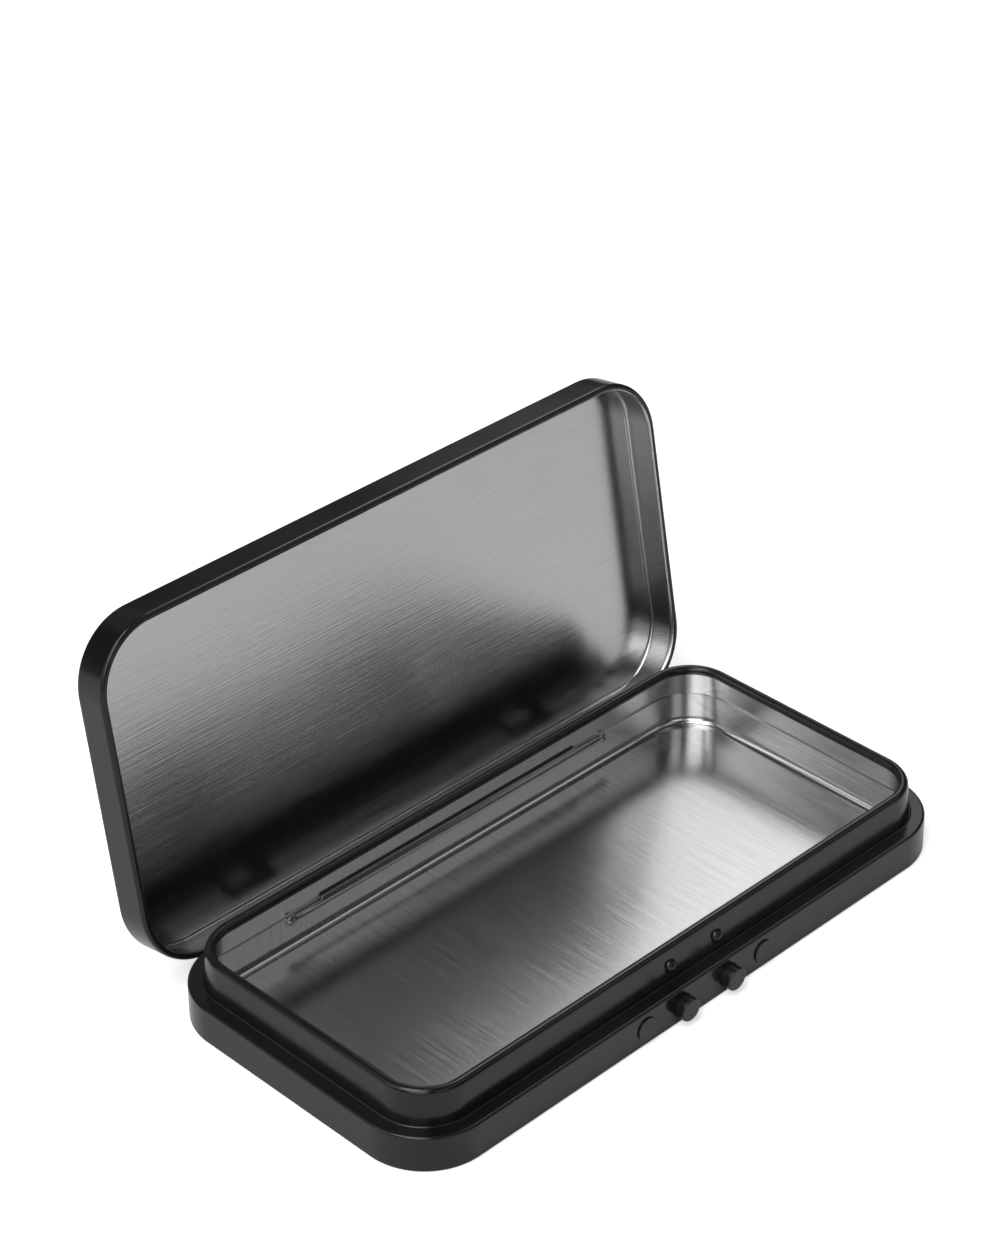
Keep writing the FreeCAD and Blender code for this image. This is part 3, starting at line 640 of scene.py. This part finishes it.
def make_inner_tray():
    """Bare lining of the floor and of the neck's lower half."""
    outside = rounded([(FLOOR_INSET, SHEET), (TRAY_INSET, SHEET, TRAY_FILLET + SHEET),
                       (TRAY_INSET, TRAY_HEIGHT)])
    inside = rounded([(TRAY_INNER, TRAY_HEIGHT), (TRAY_INNER, 2 * SHEET, TRAY_FILLET),
                      (FLOOR_INSET, 2 * SHEET)])
    section = section_mesh("tray_section", [(eased(outside), 1), (eased(inside), 1)])
    tree = shell_tree("tray", True, ("Stem",), ("Tail",))
    piece = made_by("tray", section, tree, {
        **shell_values(TRAY_STEEL, TRAY_STEEL, (SHEET, 2 * SHEET), 1.0, 1.0),
        **round_values("Stem", button_low, button_high, STEM_RADIUS + HOLE_GAP, 0.0, TRAY_REACH),
        **window_values("Tail", TAIL_SLOT, TAIL_LOW, RIM_HEIGHT, 0.0, TRAY_REACH),
    })
    settle(piece)
    place(piece, "base", "inner_tray")


def swing_open():
    """Turn of the closed lid to its open place."""
    there = Matrix.Translation(HINGE_POINT)
    return there @ Matrix.Rotation(-LID_OPEN, 4, "X") @ there.inverted()


def make_lid_shell():
    """Lid with a pressed line near its edge and a curled rim, bare inside."""
    centre = (LID_CURL, LID_RIM + LID_CURL)
    inside = rounded([
        (FLOOR_INSET, LID_TOP - SHEET),
        (LID_LINE + LID_LINE_DEPTH, LID_TOP - SHEET),
        (LID_LINE, LID_TOP - SHEET + LID_LINE_DEPTH),
        (LID_LINE - LID_LINE_DEPTH, LID_TOP - SHEET),
        (SHEET, LID_TOP - SHEET, LID_EDGE - SHEET),
        (SHEET, centre[1]),
    ])
    curl_end = 2 * math.pi + LID_CURL_END
    rolled = arc(centre, LID_CURL - SHEET, math.pi, curl_end)[1:]
    rolled += arc(centre, LID_CURL, curl_end, LID_PAINT_END)
    painted = arc(centre, LID_CURL, LID_PAINT_END, math.pi)[1:-1]
    outside = rounded([(0.0, centre[1]), (0.0, LID_TOP, LID_EDGE), (FLOOR_INSET, LID_TOP)])
    section = section_mesh("lid_section", [(eased(inside) + rolled, 1), (painted + eased(outside), 0)])
    tree = shell_tree("lid", True, (), ("Hinge",))
    piece = made_by("lid", section, tree, {
        **shell_values(BLACK, LID_STEEL, (LID_TOP - SHEET, LID_TOP), 1.0, 0.0),
        **window_values("Hinge", KNUCKLE_NOTCH, BASE_HEIGHT - SHEET, LID_NOTCH_HIGH, -WALL_REACH,
                        LID_REACH),
    })
    settle(piece, swing_open())
    place(piece, "lid", "lid_shell")


# Turned pieces, as points (radius, distance behind the front wall)

# Circle that a section is swept round, wider than any turned piece
RING = 10 * MM
TURNED = turned_tree()


def make_turned(name, body, node, outline, x, z):
    """Lacquered piece turned about an axis that points to the front."""
    points = [(FLOOR_INSET + RING - radius, -behind) for radius, behind in eased(rounded(outline))]
    piece = made_by(name, section_mesh(f"{name}_section", [(points, 0)]), TURNED, {
        "Ring": RING, "Steps": TURN_STEPS, "Place": (x, FRONT, z), "Finish": BLACK,
    })
    settle(piece)
    place(piece, body, node)


def make_push_button(side, sign):
    """Round button with a flange behind the wall, a stem and a spigot in its plate."""
    x, z = front_place(button_low, button_high)
    make_turned(f"{side}_button", f"{side}_latch", f"{side}_push_button", [
        (0.0, BUTTON_FRONT),
        (BUTTON_RADIUS, BUTTON_FRONT, BUTTON_EDGE),
        (BUTTON_RADIUS, FLANGE_INSET),
        (FLANGE_RADIUS, FLANGE_INSET),
        (FLANGE_RADIUS, FLANGE_BACK),
        (STEM_RADIUS, FLANGE_BACK),
        (STEM_RADIUS, PLATE_INSET),
        (SPIGOT_RADIUS, PLATE_INSET),
        (SPIGOT_RADIUS, SPIGOT_END),
        (0.0, SPIGOT_END),
    ], sign * x, z)


def make_spring_rivet(side, sign):
    """Low rivet that holds the spring behind the wall."""
    x, z = front_place(rivet_low, rivet_high)
    make_turned(f"{side}_rivet", "base", f"{side}_spring_rivet", [
        (0.0, RIVET_FRONT),
        (RIVET_RADIUS, RIVET_FRONT, RIVET_EDGE),
        (RIVET_RADIUS, FLANGE_INSET),
        (FLANGE_RADIUS, FLANGE_INSET),
        (FLANGE_RADIUS, SPRING_FACE),
        (RIVET_SHANK, SPRING_FACE),
        (RIVET_SHANK, SPRING_BACK),
        (RIVET_TAIL, SPRING_BACK),
        (RIVET_TAIL, RIVET_END),
        (0.0, RIVET_END),
    ], sign * x, z)


def make_catch_pin(side, sign):
    """Domed pin in the neck, with a spigot in the same plate as the button's."""
    x, z = front_place(pin_low, pin_high)
    dome = (PIN_RADIUS ** 2 + PIN_REACH ** 2) / (2 * PIN_REACH)
    dome_end = math.asin(PIN_RADIUS / dome)
    make_turned(f"{side}_catch", f"{side}_latch", f"{side}_catch_pin", [
        *arc((0.0, PIN_TIP + dome), dome, -math.pi / 2, dome_end - math.pi / 2),
        (PIN_RADIUS, PLATE_INSET),
        (SPIGOT_RADIUS, PLATE_INSET),
        (SPIGOT_RADIUS, SPIGOT_END),
        (0.0, SPIGOT_END),
    ], sign * x, z)


# Small folded pieces, formed from their nodes' solids

def make_folded(name, body, node, finish, edge):
    """Copy of a node's solid with softened edges."""
    piece = bpy.data.objects.new(name, frame["nodes"][node].data.copy())
    bpy.context.scene.collection.objects.link(piece)
    piece.data.materials.clear()
    piece.data.materials.append(finish)
    work = bmesh.new()
    work.from_mesh(piece.data)
    bmesh.ops.remove_doubles(work, verts=work.verts, dist=SOLID_WELD)
    bmesh.ops.dissolve_limit(work, angle_limit=FLAT, verts=work.verts, edges=work.edges)
    work.to_mesh(piece.data)
    work.free()
    for face in piece.data.polygons:
        face.material_index = 0
    soften = piece.modifiers.new("soft_edges", "BEVEL")
    soften.width = edge
    soften.segments = EDGE_SEGMENTS
    soften.limit_method = "ANGLE"
    soften.angle_limit = CREASE
    plain_mesh(piece)
    settle(piece)
    upright_map(piece)
    place(piece, body, node)


def make_small_parts():
    """Hinge and latch parts, with their edges softened."""
    make_folded("rail", "base", "hinge_rail", TRAY_STEEL, RAIL_EDGE)
    make_folded("cover", "base", "latch_cover", TRAY_STEEL, COVER_EDGE)
    make_folded("strike", "lid", "lid_strike", BLACK, FOLD_EDGE)
    for side in ("left", "right"):
        latch = f"{side}_latch"
        make_folded(f"{side}_knuckle", "lid", f"{side}_lid_knuckle", BLACK, FOLD_EDGE)
        make_folded(f"{side}_pin", "base", f"{side}_hinge_pin", PLATED, FOLD_EDGE)
        make_folded(f"{side}_plate", latch, f"{side}_latch_plate", PLATED, FOLD_EDGE)
        make_folded(f"{side}_spring", "base", f"{side}_leaf_spring", PLATED, SPRING_EDGE)


make_base_shell()
make_neck_ring()
make_inner_tray()
make_lid_shell()
for side, sign in (("left", -1), ("right", 1)):
    make_push_button(side, sign)
    make_spring_rivet(side, sign)
    make_catch_pin(side, sign)
make_small_parts()


# Studio, in metres and degrees

FLOOR_HALF = 4.0
FLOOR_WHITE = (0.9, 0.9, 0.9, 1)
FLOOR_ROUGHNESS = 0.9
FLOOR_SEEN = 0.5
FLOOR_MIRRORED = 0.02
WORLD_GREY = 0.03
CAMERA_PLACE = (-0.31929, -0.30996, 0.34283)
CAMERA_AZIMUTH = -43.97
CAMERA_ELEVATION = 29.08
CAMERA_ROLL = -0.82
CAMERA_LENS = 98.71
CAMERA_SHIFT = (0.0235, -0.1733)
SENSOR_WIDTH = 36
NEAREST_SEEN = 0.01
SOFTBOX_DISTANCE = 1.5

# Azimuth, elevation, width and height of each softbox, as angles, and its brightness
SOFTBOXES = {
    "key": (212, 31, 32, 20, 3.05),
    "key_high": (198, 51, 36, 20, 4.07),
    "key_top": (180, 72, 24, 24, 5.9),
    "left": (166, 31, 30, 20, 1.42),
    "left_high": (146, 50, 30, 20, 1.16),
    "left_low": (150, 10, 30, 16, 1.03),
    "front_low": (210, 10, 30, 16, 1.14),
    "front": (258, 30, 20, 20, 1.32),
    "right": (298, 49, 30, 20, 0.68),
    "right_low": (320, 30, 20, 20, 0.68),
    "rear_right": (43, 30, 20, 20, 1.36),
    "rear_right_high": (28, 50, 22, 20, 3.15),
    "rear_top": (0, 70, 24, 24, 0.33),
    "rear_low": (70, 30, 40, 20, 0.14),
}


def make_floor():
    """Floor that looks white to the eye, shows in the metal and still takes the tin's shadow."""
    mesh = bpy.data.meshes.new("studio_floor")
    corners = [(x * FLOOR_HALF, y * FLOOR_HALF, 0) for x, y in ((-1, -1), (1, -1), (1, 1), (-1, 1))]
    mesh.from_pydata(corners, [], [(0, 1, 2, 3)])
    floor = bpy.data.objects.new("studio_floor", mesh)
    bpy.context.scene.collection.objects.link(floor)
    material, tree, surface = new_material("studio_white")
    surface.inputs["Base Color"].default_value = FLOOR_WHITE
    surface.inputs["Roughness"].default_value = FLOOR_ROUGHNESS
    surface.inputs["Specular IOR Level"].default_value = 0.0
    light_path = add_node(tree, "ShaderNodeLightPath").outputs
    seen = number(tree, "MULTIPLY", light_path["Is Camera Ray"], FLOOR_SEEN)
    through = number(tree, "MAXIMUM", light_path["Is Glossy Ray"], light_path["Is Transmission Ray"])
    mirrored = number(tree, "MULTIPLY", through, FLOOR_MIRRORED)
    glow = add_node(tree, "ShaderNodeEmission", Color=(1, 1, 1, 1),
                    Strength=number(tree, "MAXIMUM", seen, mirrored))
    lit = add_node(tree, "ShaderNodeAddShader")
    fill_sockets(tree, lit.inputs, (surface.outputs[0], glow.outputs[0]))
    tree.links.new(lit.outputs[0], tree.nodes["Material Output"].inputs["Surface"])
    mesh.materials.append(material)


def make_softbox(name, azimuth, elevation, wide, tall, brightness):
    """Softbox that faces the tin from a direction. Its width and height are angles, in degrees."""
    turn, lift = math.radians(azimuth), math.radians(elevation)
    away = Vector((math.cos(lift) * math.cos(turn), math.cos(lift) * math.sin(turn), math.sin(lift)))
    lamp = bpy.data.lights.new(name, "AREA")
    lamp.shape = "RECTANGLE"
    lamp.size = 2 * SOFTBOX_DISTANCE * math.tan(math.radians(wide) / 2)
    lamp.size_y = 2 * SOFTBOX_DISTANCE * math.tan(math.radians(tall) / 2)
    lamp.energy = brightness * math.pi * lamp.size * lamp.size_y
    box = bpy.data.objects.new(name, lamp)
    bpy.context.scene.collection.objects.link(box)
    box.location = away * SOFTBOX_DISTANCE
    box.rotation_euler = (-away).to_track_quat("-Z", "Y").to_euler()


def make_camera():
    """Camera at the viewing angle of the picture, which is a crop, so its middle is shifted."""
    turns = (CAMERA_AZIMUTH, CAMERA_ELEVATION, CAMERA_ROLL)
    azimuth, elevation, roll = (math.radians(turn) for turn in turns)
    back = Vector((math.sin(azimuth) * math.cos(elevation), -math.cos(azimuth) * math.cos(elevation),
                   math.sin(elevation)))
    camera = bpy.data.objects.new("camera", bpy.data.cameras.new("camera"))
    bpy.context.scene.collection.objects.link(camera)
    camera.location = CAMERA_PLACE
    look = (-back).to_track_quat("-Z", "Y").to_matrix().to_4x4()
    camera.rotation_euler = (look @ Matrix.Rotation(roll, 4, "Z")).to_euler()
    camera.data.lens = CAMERA_LENS
    camera.data.shift_x, camera.data.shift_y = CAMERA_SHIFT
    camera.data.sensor_width = SENSOR_WIDTH
    camera.data.clip_start = NEAREST_SEEN
    bpy.context.scene.camera = camera


def make_world():
    """Faint even light from all round."""
    world = bpy.data.worlds.new("studio")
    world.use_nodes = True
    colour = (WORLD_GREY, WORLD_GREY, WORLD_GREY, 1)
    world.node_tree.nodes["Background"].inputs["Color"].default_value = colour
    bpy.context.scene.world = world


make_floor()
for name, settings in SOFTBOXES.items():
    make_softbox(name, *settings)
make_camera()
make_world()
bpy.context.scene.view_settings.view_transform = "Standard"
